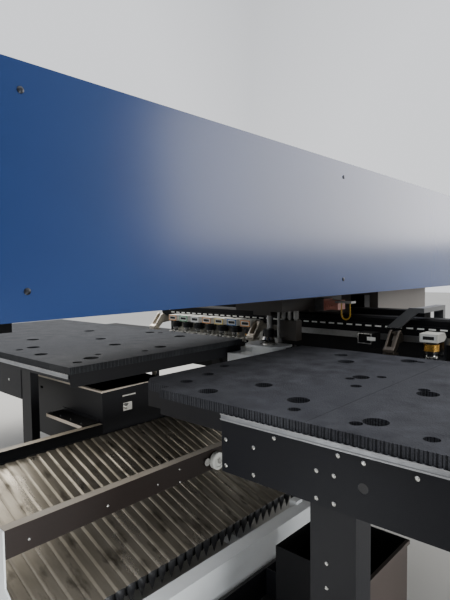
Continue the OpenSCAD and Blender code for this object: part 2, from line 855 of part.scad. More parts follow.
head_half = head_w / 2;
head_y0 = punch_y - 120;
head_y1 = punch_y + 660;
head_z0 = table_h + 228;
head_rear_z = table_h + 206;
head_rear_y = punch_y + 210;
shoe_h = 40;
shoe_base = up_arm_z - guide_h - gap - 20;
nose_half = 76;
nose_y0 = punch_y - 78;
nose_y1 = punch_y + 66;
nose_z0 = table_h + 196;
punch_z = table_h + 18;
holder_z1 = table_h + 96;
side_x0 = 92;
carriage_half = gap_half - 22;
side_x1 = carriage_half - 4;
side_y0 = punch_y - 10;
clamp_y = 52;
side_y1 = clamp_y - 16;
side_z0 = table_h + 30;
side_z1 = table_h + 165;

// Slide shoe that wraps a guide rail from below (dir = 1) or from above (dir = -1)
module shoe(x, y, z, dir) {
    w = guide_w + 44;
    difference() {
        block(x - w / 2, x + w / 2, y - 50, y + 50, min(z, z + dir * shoe_h), max(z, z + dir * shoe_h));
        block(x - guide_w / 2 - gap, x + guide_w / 2 + gap, y - 51, y + 51,
            min(z + dir * (shoe_h - 20), z + dir * (shoe_h + 1)), max(z + dir * (shoe_h - 20), z + dir * (shoe_h + 1)));
    }
}

module head_slide() {
    color([0.3, 0.27, 0.25]) difference() {
        union() {
            along_x(-head_half, head_half) polygon([
                [head_y0, head_z0], [head_rear_y, head_z0], [head_rear_y, head_rear_z],
                [head_y1, head_rear_z], [head_y1, shoe_base], [head_y0, shoe_base]
            ]);
            block(-nose_half, nose_half, nose_y0, nose_y1, nose_z0, head_z0);
            for (x = [-guide_x, guide_x], y = [head_y0 + 60, head_y1 - 60]) shoe(x, y, shoe_base, 1);
            block(side_x0, side_x1, side_y0, side_y1, side_z0, side_z1);
            block(side_x0 + 20, side_x1 - 20, side_y1 - 14, side_y1, side_z1, head_z0);
        }
        rod_z(0, punch_y, nose_z0 - 1, shoe_base - 60, ram_d + 2 * run_gap);
    }
}

module ram() {
    color("silver") {
        rod_z(0, punch_y, nose_z0 + 2, shoe_base - 60 - ram_stroke, ram_d);
        rod_z(0, punch_y, holder_z1 - 10, nose_z0 + 2, shank_d);
    }
}

module punch_holder() {
    color("goldenrod") {
        difference() {
            union() {
                rod_z(0, punch_y, holder_z1 - 32, holder_z1, holder_d);
                rod_z(0, punch_y, holder_z1 - 54, holder_z1 - 32, holder_d - 12);
            }
            rod_z(0, punch_y, holder_z1 - 10 - gap, holder_z1 + 1, shank_d + 2 * run_gap);
        }
        translate([0, punch_y, punch_z + 4]) cylinder(h = holder_z1 - 58 - punch_z, d1 = holder_d + 18, d2 = holder_d, $fn = 48);
        rod_z(0, punch_y, punch_z, punch_z + 4, punch_d);
    }
}

cylinder_d = 38;
cylinder_y = side_y1 - 14 - cylinder_d / 2 - gap;

module head_cylinders() {
    color("gray") for (i = [0:2]) {
        x = side_x0 + 25 + i * (side_x1 - side_x0 - 50) / 2;
        rod_z(x, cylinder_y, side_z1, side_z1 + 12, cylinder_d * 0.6);
        rod_z(x, cylinder_y, side_z1 + 12, head_z0, cylinder_d);
    }
    color("gray") {
        rod_z(52, nose_y0 + 26, table_h + 110, nose_z0, 34);
        rod_z(122, head_y0 + 70, punch_z, punch_z + 32, 52);
        rod_z(122, head_y0 + 70, punch_z + 32, head_z0, 20);
    }
}

valve_x0 = head_half;
valve_x1 = head_half + 172;
valve_y0 = punch_y + 303;
valve_y1 = punch_y + 403;
valve_z0 = table_h + 224;
valve_z1 = table_h + 289;

module valve_block() {
    color("salmon") {
        block(valve_x0 + 72, valve_x1, valve_y0, valve_y1, valve_z0, valve_z1);
        for (i = [0:2]) rod_y(valve_x0 + 90 + 30 * i, valve_y0 - 12, valve_y0, valve_z0 + 26, 18);
        block(valve_x1, hose_x + hose_r + 14, hose_y - 10, valve_y0 + 20, valve_z1 - 14, valve_z1);
        block(valve_x0, valve_x0 + 72, valve_y0 - 22, valve_y1, valve_z0 - 8, valve_z1 + 10);
    }
}

hose_d = 9;
hose_r = 32;
hose_x = valve_x1 + hose_r + 46;
hose_y = valve_y0 - 33;

module air_hose() {
    z = table_h + 197;
    color("gold") translate([hose_x, hose_y, z]) rotate([90, 0, 0]) {
        rotate([0, 0, 180]) rotate_extrude(angle = 180, $fn = 48) translate([hose_r, 0]) circle(d = hose_d, $fn = 16);
        for (s = [-1, 1]) translate([s * hose_r, 0, 0]) rotate([-90, 0, 0])
            cylinder(h = valve_z1 - 14 - z, d = hose_d, $fn = 16);
    }
}

// Die carriage under the sheet, coupled to the head

die_z = table_h - 10;
carriage_y1 = punch_y + 66;
pedestal_half = 170;
die_shoe_z = low_arm_z + guide_h + gap + 20;

module die_carriage() {
    drop = tan(lamella_slope);
    x1 = bellows_x1 - 2;
    step1 = table_h - 76;
    step2 = table_h - 50;
    y_low = carriage_y0;
    color("whitesmoke") difference() {
        union() {
            for (x = [-guide_x, guide_x], y = [y_low + 62, carriage_y1 + 60]) shoe(x, y, die_shoe_z, -1);
            along_x(-pedestal_half, pedestal_half) polygon([
                [y_low, die_shoe_z], [carriage_y1 + 120, die_shoe_z], [carriage_y1 + 120, die_shoe_z + 90],
                [carriage_y1, step1 - 90], [y_low, step1 - 90]
            ]);
            block(-carriage_half, carriage_half, y_low, carriage_y1, step1 - 90, step1);
            block(-carriage_half, carriage_half, y_low + 146, carriage_y1, step1, step2);
            intersection() {
                union() {
                    rod_z(0, punch_y, step1, die_z - 12, die_plate_d * 0.72);
                    rod_z(0, punch_y, die_z - 12, die_z, die_plate_d);
                }
                block(-die_plate_d, die_plate_d, y_low + 50, carriage_y1, step1, die_z);
            }
            along_y(y_low - 6, y_low) polygon([
                [bellows_x0 + 2, lamella_z - 4], [x1, lamella_z - 4 - drop * (x1 - bellows_x0 - 2)],
                [x1, lamella_z - fold_d - drop * (x1 - bellows_x0 - 2)], [bellows_x0 + 2, lamella_z - fold_d - 2]
            ]);
        }
        rod_z(0, punch_y, die_z - 40, die_z + 1, die_ring_d);
        rod_z(0, punch_y, step1 - 200, die_z + 1, punch_d + 30);
    }
}

module die_holder() {
    color("silver") difference() {
        union() {
            rod_z(0, punch_y, die_z - 40 + turn_gap, die_z - 1, die_ring_d - 2 * turn_gap);
            rod_z(0, punch_y, die_z - 1, table_h - 2, die_ring_d * 0.68);
        }
        rod_z(0, punch_y, die_z - 50, table_h + 1, punch_d + 2);
    }
}

// Tool magazine on the cross rails

station_x0 = -1155;
clamp_stations = [-1, 7, 14];
tool_stations = [0, 1, 2, 3, 4, 5, 6, 16];
clamp_shift = [-80, -45, 60];
function station_x(k) = station_x0 + station_pitch * k;
mag_x0 = station_x(-1) - 187;
mag_x1 = station_x(17) + 70;
slide_y1 = beam_y0 - cross_rail_h - gap;
slide_t = 24;
slide_y0 = slide_y1 - slide_t;
slide_z0 = beam_z0 + 10;
slide_z1 = table_h + 170;
bar_y1 = cassette_y + cassette_d + 26;
bar_y0 = bar_y1 - 26;
bar_z0 = table_h + 48;
bar_z1 = table_h + 88;
hood_z1 = table_h + 196;

module magazine_slide() {
    color("silver") {
        difference() {
            block(mag_x0, mag_x1, slide_y0, slide_y1, slide_z0, slide_z1);
            for (k = [-1:17]) rod_y(station_x(k), slide_y0 - 1, slide_y1 + 1, (slide_z0 + slide_z1) / 2, 46);
        }
        for (k = [-1, 4, 11, 17], z = cross_rail_z) translate([station_x(k), 0, z]) difference() {
            block(-45, 45, slide_y1, slide_y1 + 20, -32, 32);
            block(-46, 46, slide_y1 - 1, slide_y1 + 21, -cross_rail_w / 2 - gap, cross_rail_w / 2 + gap);
        }
        block(mag_x0, mag_x1, bar_y0, bar_y1, bar_z0, bar_z1);
        for (k = [-1:17]) block(station_x(k) + station_pitch / 2 - 12, station_x(k) + station_pitch / 2 + 12, bar_y1, slide_y0, bar_z0, bar_z1);
        difference() {
            block(mag_x0, mag_x1, bar_y0 + 6, bar_y0 + 14, bar_z1, bar_z1 + 62);
            for (k = [-1:17], s = [-1, 1]) translate([station_x(k) + s * 34, 0, 0])
                block(-22, 22, bar_y0, bar_y1, bar_z1 + 40, bar_z1 + 50);
        }
    }
    color("black") {
        along_x(mag_x0, mag_x1) polygon([
            [bar_y0 + 20, bar_z1 + 62], [slide_y1, bar_z1 + 62], [slide_y1, hood_z1 - 12],
            [slide_y1 - 12, hood_z1], [bar_y0 + 32, hood_z1], [bar_y0 + 20, hood_z1 - 12]
        ]);
        block(station_x(13) - 54, station_x(13) + 54, bar_y0 - 112, bar_y0, table_h, table_h + 98);
    }
    color("silver") for (i = [0:2]) translate([clamp_x(i), 0, 0]) {
        block(-jaw_half, jaw_half, clamp_y, clamp_y + 76, table_h - 14, table_h - 2);
        along_x(-lug_half, lug_half) polygon([
            [clamp_y + 50, table_h - 2], [clamp_y + 76, table_h - 2], [jaw_y + 10, table_h + 40],
            [bar_y0, bar_z0], [bar_y0, bar_z1], [jaw_y + 20, jaw_z + 14], [jaw_y - 12, jaw_z + 14],
            [jaw_y - 12, jaw_z - 16]
        ]);
        rod_x(-jaw_half - 6, jaw_half + 6, jaw_y, jaw_z, jaw_pin_d);
    }
}

function clamp_x(i) = station_x(clamp_stations[i]) + clamp_shift[i];
jaw_half = 34;
lug_half = 9;
jaw_y = clamp_y + 112;
jaw_z = table_h + 108;
jaw_pin_d = 12;

// Upper clamp jaw: two inclined prongs joined at the tip, turning on their pin
module clamp_jaw(i) {
    y = clamp_y;
    z = table_h;
    color("silver") translate([clamp_x(i), 0, 0]) difference() {
        along_x(-jaw_half, jaw_half) polygon([
            [y, z + 1], [y + 36, z + 1], [y + 56, z + 16], [y + 132, z + 96], [y + 132, z + 124],
            [y + 106, z + 130], [y + 86, z + 118], [y, z + 20]
        ]);
        rod_x(-jaw_half - 1, jaw_half + 1, jaw_y, jaw_z, jaw_pin_d + 2 * run_gap);
        block(-lug_half - gap, lug_half + gap, y + 34, y + 140, z, z + 140);
    }
}

module clamp_jaw_left() {
    clamp_jaw(0);
}

module clamp_jaw_middle() {
    clamp_jaw(1);
}

module clamp_jaw_right() {
    clamp_jaw(2);
}

tool_y = cassette_y + 10 + tool_d / 2;
slot_z = table_h;
cassette_z0 = table_h - 40;
cassette_z1 = table_h + 126;

// C-shaped holder: an upper and a lower fork joined by its back, open to the front
module cassette() {
    w = cassette_w / 2;
    y1 = cassette_y + cassette_d;
    difference() {
        along_x(-w, w) polygon([
            [cassette_y, cassette_z0], [y1, cassette_z0], [y1, cassette_z1 - 30], [y1 - 30, cassette_z1],
            [cassette_y, cassette_z1], [cassette_y, table_h + 76], [y1 - 40, table_h + 76],
            [y1 - 40, table_h - 14], [cassette_y, table_h - 14]
        ]);
        rod_z(0, tool_y, cassette_z0 - 1, table_h - 13, tool_d + 2 * gap);
        block(-tool_d / 2 + 12, tool_d / 2 - 12, cassette_y - 1, tool_y, cassette_z0 - 1, table_h - 13);
        rod_z(0, tool_y, table_h + 75, cassette_z1 - 12, tool_d * 0.6 + 2 * gap);
    }
}

module cassettes() {
    color("ivory") for (k = tool_stations) translate([station_x(k), 0, 0]) cassette();
}

// Coloured frame round the label field of a cassette
module cassette_tags() {
    w = cassette_w / 2 - 6;
    color("orange") for (k = tool_stations) translate([station_x(k), cassette_y - 4, cassette_z1 - 42]) difference() {
        block(-w, w, 0, 4 - eps, 0, 36);
        block(-w + 8, w - 8, -1, 5, 8, 28);
    }
}

// Punch, stripper ring and die of every station
module tool() {
    rod_z(0, tool_y, cassette_z0, table_h - 14, tool_d);
    rod_z(0, tool_y, table_h - 14, table_h - 3, tool_d * 0.8);
    rod_z(0, tool_y, table_h + 4, table_h + 22, tool_d * 0.8);
    rod_z(0, tool_y, table_h + 22, table_h + 62, tool_d);
    rod_z(0, tool_y, table_h + 62, table_h + 76 - gap, tool_d * 0.7);
    rod_z(0, tool_y, table_h + 76 - gap, cassette_z1 - 14, tool_d * 0.6);
}

module tools() {
    color("silver") for (k = tool_stations) translate([station_x(k), 0, 0]) tool();
}

// Electrical cabinet behind the left table

cabinet_x1 = -beam_x1 - gap;
cabinet_x0 = cabinet_x1 - cabinet_w;
cabinet_y1 = back_y - 20;
cabinet_y0 = cabinet_y1 - cabinet_d;
cabinet_z0 = 100;
cabinet_z1 = cabinet_z0 + cabinet_h;
door_t = 24;
hinge_d = 16;

module cabinet() {
    color("gainsboro") {
        difference() {
            block(cabinet_x0, cabinet_x1, cabinet_y0, cabinet_y1, cabinet_z0, cabinet_z1);
            block(cabinet_x0 - 1, cabinet_x1 - 4, cabinet_y0 + 30, cabinet_y1 - 30, cabinet_z0 + 30, cabinet_z1 - 30);
        }
        block(cabinet_x0 + 20, cabinet_x1 - 40, cabinet_y0 + 20, cabinet_y1 - 20, 0, cabinet_z0);
    }
    color("gray") for (z = [cabinet_z0 + 150, cabinet_z1 - 250]) {
        rod_z(hinge_x, hinge_y, z, z + 100, hinge_d);
        block(hinge_x, cabinet_x0 + 40, cabinet_y1, hinge_y, z, z + 100);
    }
}

door_y0 = cabinet_y0 + 2;
hinge_x = cabinet_x0 - door_t / 2;
hinge_y = cabinet_y1 + hinge_d / 2;
door_y1 = cabinet_y1 - 2;

module cabinet_door() {
    x1 = cabinet_x0 - gap;
    color("gainsboro") difference() {
        block(x1 - door_t, x1, door_y0, door_y1, cabinet_z0 + 4, cabinet_z1 - 4);
        block(x1 - door_t + 2, x1 + 1, door_y0 + 40, door_y1 - 40, cabinet_z0 + 44, cabinet_z1 - 44);
        rod_x(x1 - door_t - 1, x1 + 1, door_y0 + 20, handle_z, 22);
    }
    color("gray") for (z = [cabinet_z0 + 150, cabinet_z1 - 250]) {
        rod_z(hinge_x, hinge_y, z + 100 + gap, z + 200, hinge_d);
        block(hinge_x - 6, hinge_x + 6, door_y1, hinge_y, z + 100 + gap, z + 200);
    }
}

handle_z = cabinet_z0 + 900;

module door_handle() {
    x1 = cabinet_x0 - gap - door_t;
    color("black") {
        rod_x(x1 - 2, x1 + door_t - 2, door_y0 + 20, handle_z, 22 - 2 * run_gap);
        rod_x(x1 - 22, x1 - gap, door_y0 + 20, handle_z, 34);
        block(x1 - 22, x1 - 8, door_y0 + 8, door_y0 + 32, handle_z - 120, handle_z);
    }
}

// Control panel on its swivel arm at the left of the upper cover

mount_x = -cover_half - 46;
mount_y = front_y + 330;
mount_z = cover_z0 + 190;
arm_h = 60;

module panel_mount() {
    color("gray") {
        block(-cover_half - 8, -cover_half, mount_y - 60, mount_y + 60, mount_z - 90, mount_z + 90);
        for (z = [mount_z - arm_h / 2 - 24, mount_z + arm_h / 2 + gap]) difference() {
            union() {
                block(mount_x, -cover_half - 8, mount_y - 34, mount_y + 34, z, z + 24 - gap);
                rod_z(mount_x, mount_y, z, z + 24 - gap, 68);
            }
        }
        rod_z(mount_x, mount_y, mount_z - arm_h / 2 - 24, mount_z + arm_h / 2 + 24, pin_d);
    }
}

arm_end_x = mount_x - swing_len;

module swing_arm() {
    z0 = mount_z - arm_h / 2;
    z1 = mount_z + arm_h / 2;
    color("lightgray") difference() {
        union() {
            rod_z(mount_x, mount_y, z0, z1, 62);
            block(arm_end_x, mount_x, mount_y - 22, mount_y + 22, z0, z1);
            rod_z(arm_end_x, mount_y, z0, z1, 62);
            rod_z(arm_end_x, mount_y, z0 - 60, z0, pin_d);
        }
        rod_z(mount_x, mount_y, z0 - 1, z1 + 1, pin_d + 2 * run_gap);
    }
}

panel_z1 = mount_z - arm_h / 2 - 8;
panel_z0 = panel_z1 - panel_h;
panel_y0 = mount_y - panel_d / 2;
button_z = panel_z0 + 40;
stop_x = arm_end_x + panel_w / 2 - 50;
start_x = arm_end_x + panel_w / 2 - 120;
button_d = 24;

module control_panel() {
    x0 = arm_end_x - panel_w / 2;
    x1 = arm_end_x + panel_w / 2;
    color("lightgray") difference() {
        block(x0, x1, panel_y0, panel_y0 + panel_d, panel_z0, panel_z1);
        rod_z(arm_end_x, mount_y, panel_z1 - 52, panel_z1 + 1, pin_d + 2 * run_gap);
        block(x0 + 30, x1 - 30, panel_y0 - 1, panel_y0 + 3, panel_z0 + 84, panel_z1 - 30);
        for (x = [stop_x, start_x]) rod_y(x, panel_y0 - 1, panel_y0 + 24, button_z, button_d + 2 * run_gap);
    }
}

module push_button(x, cap) {
    rod_y(x, panel_y0 - 6, panel_y0 + 16, button_z, button_d);
    rod_y(x, panel_y0 - 18, panel_y0 - 6, button_z, cap);
}

module stop_button() {
    color("red") push_button(stop_x, 40);
}

module start_button() {
    color("limegreen") push_button(start_x, 28);
}

c_frame();
base_frame();
levelling_feet();
front_plate();
cover_frames();
cover_right();
cover_left();
cover_top();
cover_front();
cover_rear();
drive_housing();
screws();
head_rails();
die_rails();
cross_beam();
rear_guards();
sensor_arm();
cross_rails();
cross_rack();
table_frame_right();
table_frame_left();
deck_right();
deck_left();
apron_right();
apron_left();
table_legs();
brush_mats_right();
brush_mats_left();
tooth_strips();
cable_housing();
housing_latch();
housing_angle();
guard_rail_left();
guard_rail_right();
wheel_bracket();
guide_wheel();
scrap_bin();
parts_box();
bellows();
head_slide();
head_cylinders();
valve_block();
air_hose();
ram();
punch_holder();
die_carriage();
die_holder();
magazine_slide();
cassettes();
cassette_tags();
tools();
clamp_jaw_left();
clamp_jaw_middle();
clamp_jaw_right();
cabinet();
cabinet_door();
door_handle();
panel_mount();
swing_arm();
control_panel();
stop_button();
start_button();
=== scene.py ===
"""Looks of the punch press: finishes, the lamella bellows, cassette tags and small fittings."""

import math

import bmesh
import bpy
from mathutils import Matrix, Vector


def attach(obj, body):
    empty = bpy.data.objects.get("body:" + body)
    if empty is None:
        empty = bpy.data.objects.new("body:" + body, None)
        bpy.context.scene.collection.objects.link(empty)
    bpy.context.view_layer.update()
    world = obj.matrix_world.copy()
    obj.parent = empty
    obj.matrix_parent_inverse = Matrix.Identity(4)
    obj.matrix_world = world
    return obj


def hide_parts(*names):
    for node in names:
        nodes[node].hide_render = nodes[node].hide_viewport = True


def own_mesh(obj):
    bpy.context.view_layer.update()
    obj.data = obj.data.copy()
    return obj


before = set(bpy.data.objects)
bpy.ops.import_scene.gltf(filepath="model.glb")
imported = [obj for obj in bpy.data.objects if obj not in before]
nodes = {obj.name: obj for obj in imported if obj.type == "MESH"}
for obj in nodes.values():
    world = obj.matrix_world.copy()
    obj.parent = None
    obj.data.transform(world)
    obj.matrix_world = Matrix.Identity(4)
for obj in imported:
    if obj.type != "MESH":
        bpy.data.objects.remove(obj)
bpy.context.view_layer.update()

TABLE_Z = 1.000
TABLE_Y = -1.416
HOUSING_Y = -1.215
PANEL_X = -1.066
SCREEN_Y = -1.9122
SCREEN_Z = (1.228, 1.470)
SCREEN_HALF_W = 0.190
STATION_X0 = -1.155
STATION_PITCH = 0.138
CASSETTE_Y = 0.112


# Colours and small helpers


def srgb(r, g, b):
    """A colour from 0 to 255 as Blender's linear one."""
    def lin(c):
        c /= 255
        return c / 12.92 if c <= 0.04045 else ((c + 0.055) / 1.055) ** 2.4
    return (lin(r), lin(g), lin(b), 1.0)


def darker(colour, share):
    return tuple(c * share for c in colour[:3]) + (1.0,)


def between(a, b):
    return tuple((c + d) / 2 for c, d in zip(a, b))


def station_x(k):
    """The middle of magazine station k along the tables."""
    return STATION_X0 + STATION_PITCH * k


def group(name, inputs, outputs):
    """A new node group with its sockets; returns the tree, its input node and its output node."""
    tree = bpy.data.node_groups.new(name, "ShaderNodeTree")
    for label, kind, value in inputs:
        socket = tree.interface.new_socket(label, in_out="INPUT", socket_type="NodeSocket" + kind)
        socket.default_value = value
    for label, kind in outputs:
        tree.interface.new_socket(label, in_out="OUTPUT", socket_type="NodeSocket" + kind)
    return tree, tree.nodes.new("NodeGroupInput"), tree.nodes.new("NodeGroupOutput")


def add(tree, kind, links=(), **values):
    """A node with its settings, values by socket name, and links from (socket, input name)."""
    node = tree.nodes.new("ShaderNode" + kind)
    for key, value in values.items():
        if hasattr(node, key):
            setattr(node, key, value)
        else:
            node.inputs[key.replace("_", " ")].default_value = value
    for source, target in links:
        tree.links.new(source, node.inputs[target])
    return node


def object_place(tree):
    return add(tree, "TexCoord").outputs["Object"]


def maths(tree, operation, a, b):
    return add(tree, "Math", [(a, 0), (b, 1)], operation=operation).outputs[0]


def limit(tree, value, low, high, **ends):
    """A value between low and high as 0 to 1, or as the ends that are given."""
    return add(tree, "MapRange", [(value, "Value")], From_Min=low, From_Max=high, **ends).outputs["Result"]


def make_mottle_group():
    """Uneven patches: a soft mask from noise, from Low to High."""
    tree, gin, gout = group("mottle", [
        ("Scale", "Float", 5.0), ("Low", "Float", 0.4), ("High", "Float", 0.6), ("Stretch", "Vector", (1,
                1, 1)),
    ], [("Mask", "Float")])
    stretch = [(object_place(tree), 0), (gin.outputs["Stretch"], 1)]
    spread = add(tree, "VectorMath", stretch, operation="MULTIPLY")
    links = [(spread.outputs[0], "Vector"), (gin.outputs["Scale"], "Scale")]
    noise = add(tree, "TexNoise", links, Detail=6.0)
    cut = add(tree, "MapRange", [
        (noise.outputs["Fac"], "Value"), (gin.outputs["Low"], "From Min"), (gin.outputs["High"], "From Max"),
    ])
    tree.links.new(cut.outputs["Result"], gout.inputs["Mask"])
    return tree


def make_dust_group():
    """Dust that lies on what faces up."""
    tree, gin, gout = group("dust", [("Amount", "Float", 0.5), ("Scale", "Float", 8.0)], [("Mask", "Float")])
    shape = add(tree, "NewGeometry")
    split = add(tree, "SeparateXYZ", [(shape.outputs["Normal"], 0)])
    up = limit(tree, split.outputs["Z"], 0.3, 1.0)
    links = [(object_place(tree), "Vector"), (gin.outputs["Scale"], "Scale")]
    noise = add(tree, "TexNoise", links, Detail=8.0)
    both = maths(tree, "MULTIPLY", up, limit(tree, noise.outputs["Fac"], 0.35, 0.75))
    tree.links.new(maths(tree, "MULTIPLY", both, gin.outputs["Amount"]), gout.inputs["Mask"])
    return tree


def make_bristle_group():
    """Fine bristle ends: cells for the tufts with noise inside them."""
    tree, gin, gout = group("bristle", [("Pitch", "Float", 120.0)], [("Height", "Float"), ("Mask", "Float")])
    place = object_place(tree)
    cells = add(tree, "TexVoronoi", [(place, "Vector"), (gin.outputs["Pitch"], "Scale")])
    fine = add(tree, "TexNoise", [(place, "Vector")], Scale=420.0, Detail=3.0)
    coarse = add(tree, "TexNoise", [(place, "Vector")], Scale=9.0, Detail=5.0)
    height = maths(tree, "ADD", cells.outputs["Distance"], fine.outputs["Fac"])
    tree.links.new(height, gout.inputs["Height"])
    tone = maths(tree, "MULTIPLY", fine.outputs["Fac"], coarse.outputs["Fac"])
    tree.links.new(limit(tree, tone, 0.12, 0.4), gout.inputs["Mask"])
    return tree


GROUPS = {"mottle": make_mottle_group(), "dust": make_dust_group(), "bristle": make_bristle_group()}


def effect(tree, name, **values):
    """Places one of the groups in a material."""
    node = tree.nodes.new("ShaderNodeGroup")
    node.node_tree = GROUPS[name]
    for key, value in values.items():
        node.inputs[key].default_value = value
    return node


def start(name, roughness=0.5, metallic=0.0, **sockets):
    """A material with its Principled shader and even values on its own sockets."""
    mat = bpy.data.materials.new(name)
    mat.use_nodes = True
    tree = mat.node_tree
    bsdf = tree.nodes["Principled BSDF"]
    bsdf.inputs["Roughness"].default_value = roughness
    bsdf.inputs["Metallic"].default_value = metallic
    for key, value in sockets.items():
        bsdf.inputs[key.replace("_", " ")].default_value = value
    return mat, tree, bsdf


def blend_colours(tree, mask, a, b):
    """A mix of two colours, or of a colour socket and a colour, by a mask."""
    mix = tree.nodes.new("ShaderNodeMix")
    mix.data_type = "RGBA"
    tree.links.new(mask, mix.inputs["Factor"])
    for source, socket in ((a, mix.inputs[6]), (b, mix.inputs[7])):
        if isinstance(source, tuple):
            socket.default_value = source
        else:
            tree.links.new(source, socket)
    return mix.outputs[2]


def bump(tree, bsdf, height, strength, distance):
    """Fine relief from a height."""
    node = add(tree, "Bump", [(height, "Height")], Strength=strength, Distance=distance)
    tree.links.new(node.outputs["Normal"], bsdf.inputs["Normal"])


def paint(name, colour, roughness=0.4, worn=None, dust=0.15, grain=260.0, relief=0.08, **sockets):
    """Sprayed or powder paint: slightly uneven tone, fine orange peel and some dust."""
    mat, tree, bsdf = start(name, roughness, 0.0, **sockets)
    patch = effect(tree, "mottle", Scale=2.6, Low=0.35, High=0.7)
    other = worn or tuple(min(1.0, c * 1.25 + 0.004) for c in colour[:3]) + (1.0,)
    base = blend_colours(tree, patch.outputs["Mask"], colour, other)
    film = effect(tree, "dust", Amount=dust, Scale=5.0)
    base = blend_colours(tree, film.outputs["Mask"], base, srgb(150, 146, 138))
    tree.links.new(base, bsdf.inputs["Base Color"])
    peel = add(tree, "TexNoise", [(object_place(tree), "Vector")], Scale=grain, Detail=2.0)
    bump(tree, bsdf, peel.outputs["Fac"], relief, 0.002)
    return mat


def bare_metal(name, colour, roughness=0.35, stretch=(1, 1, 1), scale=60.0, dark=0.6):
    """Rolled, ground or zinc-coated metal with drawn streaks."""
    mat, tree, bsdf = start(name, roughness, 1.0)
    streaks = effect(tree, "mottle", Scale=scale, Low=0.25, High=0.75, Stretch=stretch)
    stains = effect(tree, "mottle", Scale=4.0, Low=0.45, High=0.75)
    shade = darker(colour, dark)
    base = blend_colours(tree, streaks.outputs["Mask"], colour, between(colour, shade))
    base = blend_colours(tree, stains.outputs["Mask"], base, shade)
    tree.links.new(base, bsdf.inputs["Base Color"])
    rough = limit(tree, streaks.outputs["Mask"], 0, 1, To_Min=roughness * 0.8, To_Max=roughness * 1.3)
    tree.links.new(rough, bsdf.inputs["Roughness"])
    bump(tree, bsdf, streaks.outputs["Mask"], 0.06, 0.001)
    return mat


def plastic(name, colour, roughness=0.4):
    """Moulded plastic with a fine grain and a little fading."""
    mat, tree, bsdf = start(name, roughness, 0.0)
    fade = effect(tree, "mottle", Scale=14.0, Low=0.3, High=0.8)
    base = blend_colours(tree, fade.outputs["Mask"], colour, darker(colour, 0.82))
    tree.links.new(base, bsdf.inputs["Base Color"])
    grain = add(tree, "TexNoise", [(object_place(tree), "Vector")], Scale=700.0)
    bump(tree, bsdf, grain.outputs["Fac"], 0.05, 0.0006)
    return mat


TUFT_PITCH = 0.0125


def brush(name, dark, light):
    """Upright bristles, matt and close-set, with a paler bloom in patches; the sides show whole tufts with painted
    shade between them.
    """
    mat, tree, bsdf = start(name, 0.95, 0.0, Specular_IOR_Level=0.15)
    tufts = effect(tree, "bristle", Pitch=150.0)
    worn = effect(tree, "mottle", Scale=1.6, Low=0.35, High=0.7)
    base = blend_colours(tree, tufts.outputs["Mask"], dark, light)
    base = blend_colours(tree, worn.outputs["Mask"], base, between(dark, light))
    along = add(tree, "VectorMath", [(object_place(tree), 0)], operation="DOT_PRODUCT")
    along.inputs[1].default_value = (1, 1, 0)
    waves = add(tree, "Math", [(along.outputs["Value"], 0)], operation="MULTIPLY")
    waves.inputs[1].default_value = 2 * math.pi / TUFT_PITCH
    rise = add(tree, "Math", [(waves.outputs[0], 0)], operation="SINE")
    # On the side faces, dark stripes at the tuft pitch are painted shade in the gaps between the tufts.
    tuft_gap_shade = limit(tree, rise.outputs[0], 0.55, 0.95)
    split = add(tree, "SeparateXYZ", [(add(tree, "NewGeometry").outputs["Normal"], 0)])
    flank = limit(tree, split.outputs["Z"], 0.7, 0.3)
    base = blend_colours(tree, maths(tree, "MULTIPLY", tuft_gap_shade, flank), base, darker(dark, 0.35))
    tree.links.new(base, bsdf.inputs["Base Color"])
    bump(tree, bsdf, tufts.outputs["Height"], 0.6, 0.004)
    return mat


def lamella_finish():
    """Smooth rolled steel with long pale and dark smears."""
    mat, tree, bsdf = start("lamella_steel", 0.34, 0.8)
    smear = effect(tree, "mottle", Scale=4.5, Low=0.35, High=0.68, Stretch=(0.7, 2.2, 1))
    stain = effect(tree, "mottle", Scale=14.0, Low=0.55, High=0.72, Stretch=(0.6, 1.4, 1))
    base = blend_colours(tree, smear.outputs["Mask"], srgb(172, 164, 150), srgb(132, 125, 112))
    base = blend_colours(tree, stain.outputs["Mask"], base, srgb(84, 78, 68))
    tree.links.new(base, bsdf.inputs["Base Color"])
    rough = limit(tree, smear.outputs["Mask"], 0, 1, To_Min=0.26, To_Max=0.42)
    tree.links.new(rough, bsdf.inputs["Roughness"])
    return mat


